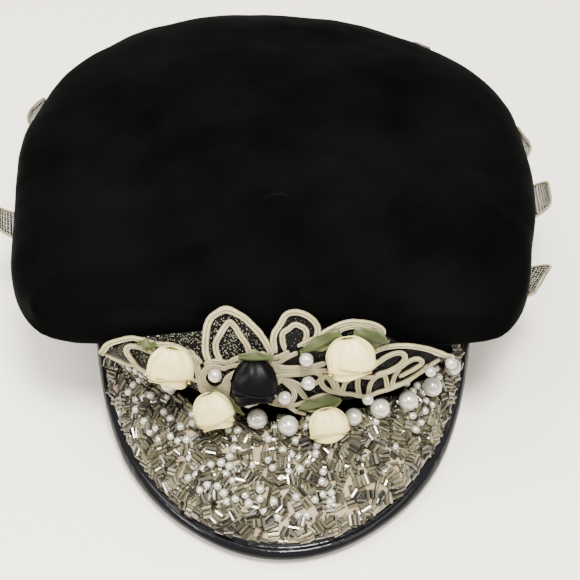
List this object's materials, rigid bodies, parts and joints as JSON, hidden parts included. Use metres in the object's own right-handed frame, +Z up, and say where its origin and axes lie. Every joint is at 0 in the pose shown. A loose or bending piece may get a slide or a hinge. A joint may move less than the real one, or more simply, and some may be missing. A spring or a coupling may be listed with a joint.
{
  "type": "captain cap",
  "caption": "Lady's captain cap with a wide soft velvet crown, plain band, beaded peak with glossy piping, and a sewn applique of cord, ribbon roses and pearls.",
  "frame": {"origin": "centre of the whole cap's footprint, on the table it rests on", "axes": "+Z up from the table, -Y to the front edge of the peak, +X to the viewer's right when the peak points at the viewer"},
  "size_m": [0.2918, 0.3248, 0.114],
  "materials": {
    "velvet": "deep black silk velvet",
    "patent": "glossy black patent",
    "buckram": "black cloth over a stiff board",
    "beading": "silver-lined bugle beads and small pearls sewn over cream net",
    "pearl": "lustrous imitation pearl",
    "metal_net": "black net woven with antique silver thread",
    "soutache": "cream silk braid",
    "cream_satin": "cream satin ribbon",
    "black_satin": "black satin ribbon",
    "leaf_ribbon": "sage green ribbon"
  },
  "bodies": {
    "root": {"band": "velvet", "bead_bed": "beading", "crown": "velvet", "flower_cords": "soutache", "flower_pearl_1": "pearl", "flower_pearl_2": "pearl", "flower_pearl_3": "pearl", "flower_pearl_4": "pearl", "flower_pearl_5": "pearl", "flower_pearl_6": "pearl", "flower_pearl_7": "pearl", "flower_pearl_8": "pearl", "leaf_cords_left": "soutache", "leaf_cords_right": "soutache", "net_left": "metal_net", "net_right": "metal_net", "peak_pearl_1": "pearl", "peak_pearl_2": "pearl", "peak_pearl_3": "pearl", "peak_pearl_4": "pearl", "peak_pearl_5": "pearl", "peak_pearl_6": "pearl", "peak_pearl_7": "pearl", "peak_pearl_8": "pearl", "peak_pearl_9": "pearl", "peak_piping": "patent", "peak_plate": "buckram", "rose_black": "black_satin", "rose_leaf_1": "leaf_ribbon", "rose_leaf_2": "leaf_ribbon", "rose_leaf_3": "leaf_ribbon", "rose_leaf_4": "leaf_ribbon", "rose_leaf_5": "leaf_ribbon", "rose_leaf_6": "leaf_ribbon", "rose_left": "cream_satin", "rose_lower_left": "cream_satin", "rose_lower_right": "cream_satin", "rose_right": "cream_satin", "side_petal_1": "metal_net", "side_petal_2": "metal_net", "side_petal_3": "metal_net", "side_petal_4": "metal_net", "side_petal_5": "metal_net", "side_petal_6": "metal_net", "side_petal_cord_1": "soutache", "side_petal_cord_2": "soutache", "side_petal_cord_3": "soutache", "side_petal_cord_4": "soutache", "side_petal_cord_5": "soutache", "side_petal_cord_6": "soutache"}
  },
  "joints": []
}
